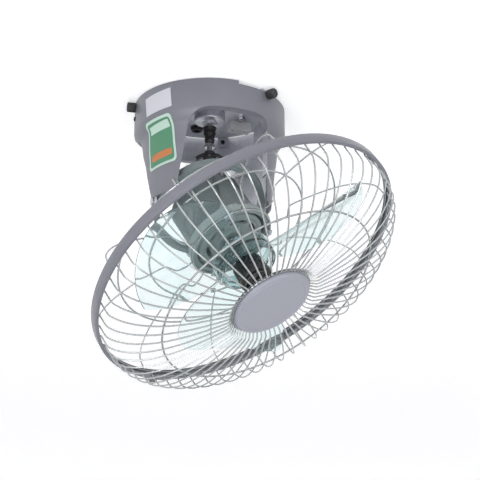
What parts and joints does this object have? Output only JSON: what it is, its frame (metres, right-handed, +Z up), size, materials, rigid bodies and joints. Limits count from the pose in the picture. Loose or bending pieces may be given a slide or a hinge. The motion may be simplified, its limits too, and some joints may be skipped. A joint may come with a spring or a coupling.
{
  "type": "orbital ceiling fan",
  "caption": "Ceiling-mounted fan whose guarded head hangs on a gimbal ring inside an arched canopy and is swept round by a small crank.",
  "frame": {"origin": "centre of the ceiling plate's upper face, on the canopy's vertical axis", "axes": "+Z up into the ceiling; X along the gimbal's outer pins; -Y out of the canopy's front arch"},
  "size_m": [0.4291, 0.4113, 0.3934],
  "materials": {
    "grey_paint": "satin",
    "pale_grey": "satin",
    "guard_wire": "gloss",
    "zinc_plate": "satin",
    "steel": "satin",
    "dark_plastic": "satin",
    "motor_paint": "satin",
    "bronze": "satin",
    "winding": "satin",
    "clear_blue": "gloss"
  },
  "bodies": {
    "canopy_body": {"canopy_shell": "grey_paint", "ceiling_plate": "zinc_plate", "thumb_screw_1": "dark_plastic", "thumb_screw_2": "dark_plastic", "thumb_screw_3": "dark_plastic", "u_bracket": "zinc_plate", "bracket_bolt_1": "steel", "bracket_bolt_2": "steel", "outer_pin_1": "steel", "outer_pin_2": "steel", "capacitor": "dark_plastic", "terminal_block": "pale_grey", "cable_grommet": "dark_plastic", "orbit_gear_motor": "zinc_plate"},
    "crank_body": {"crank_shaft": "steel", "crank_boot": "dark_plastic", "crank_nut": "steel", "crank_bow": "dark_plastic", "crank_arm": "dark_plastic"},
    "gimbal_body": {"gimbal_ring": "motor_paint", "ring_bush_1": "bronze", "ring_bush_2": "bronze", "ring_bush_3": "bronze", "ring_bush_4": "bronze"},
    "head_body": {"inner_pin_1": "steel", "inner_pin_2": "steel", "inner_nut_1": "steel", "inner_nut_2": "steel", "tail_pin": "steel", "motor_rear_shell": "motor_paint", "motor_front_plate": "motor_paint", "motor_stator": "winding", "motor_bearing_1": "steel", "motor_bearing_2": "steel", "motor_cradle": "grey_paint", "guard_clamp_1": "zinc_plate", "guard_clamp_2": "zinc_plate", "guard_clamp_3": "zinc_plate", "clamp_screw_1": "steel", "clamp_screw_2": "steel", "clamp_screw_3": "steel", "hoop": "grey_paint", "hoop_screw": "steel", "hoop_nut": "steel", "front_guard": "guard_wire", "front_ring_wire": "guard_wire", "rear_guard": "guard_wire", "badge": "pale_grey", "badge_back_plate": "grey_paint", "badge_nut": "steel"},
    "latch_body": {"guard_latch": "steel"},
    "rotor_body": {"motor_shaft": "steel", "rotor_core": "steel", "blade_wheel": "clear_blue", "spinner_nut": "dark_plastic"}
  },
  "joints": [
    {"name": "gimbal_hinge", "type": "hinge", "parent": "canopy_body", "child": "gimbal_body", "pos_m": [0, 0, -0.1493], "axis": [1, 0, 0], "range_deg": [-5.6, 62.4]},
    {"name": "head_hinge", "type": "hinge", "parent": "gimbal_body", "child": "head_body", "pos_m": [0, 0, -0.1493], "axis": [0, 0.8796, -0.4756], "range_deg": [-14.6, 53.4]},
    {"name": "blade_spin", "type": "hinge", "parent": "head_body", "child": "rotor_body", "pos_m": [0, 0, -0.1493], "axis": [0.3322, -0.4486, -0.8297], "continuous": true},
    {"name": "crank_spin", "type": "hinge", "parent": "canopy_body", "child": "crank_body", "pos_m": [0, 0, -0.06], "axis": [0, 0, 1], "continuous": true},
    {"name": "latch_hinge", "type": "hinge", "parent": "head_body", "child": "latch_body", "pos_m": [0.16738, -0.17433, -0.11988], "axis": [0.7257, 0.6834, -0.079], "range_deg": [0, 80]}
  ]
}
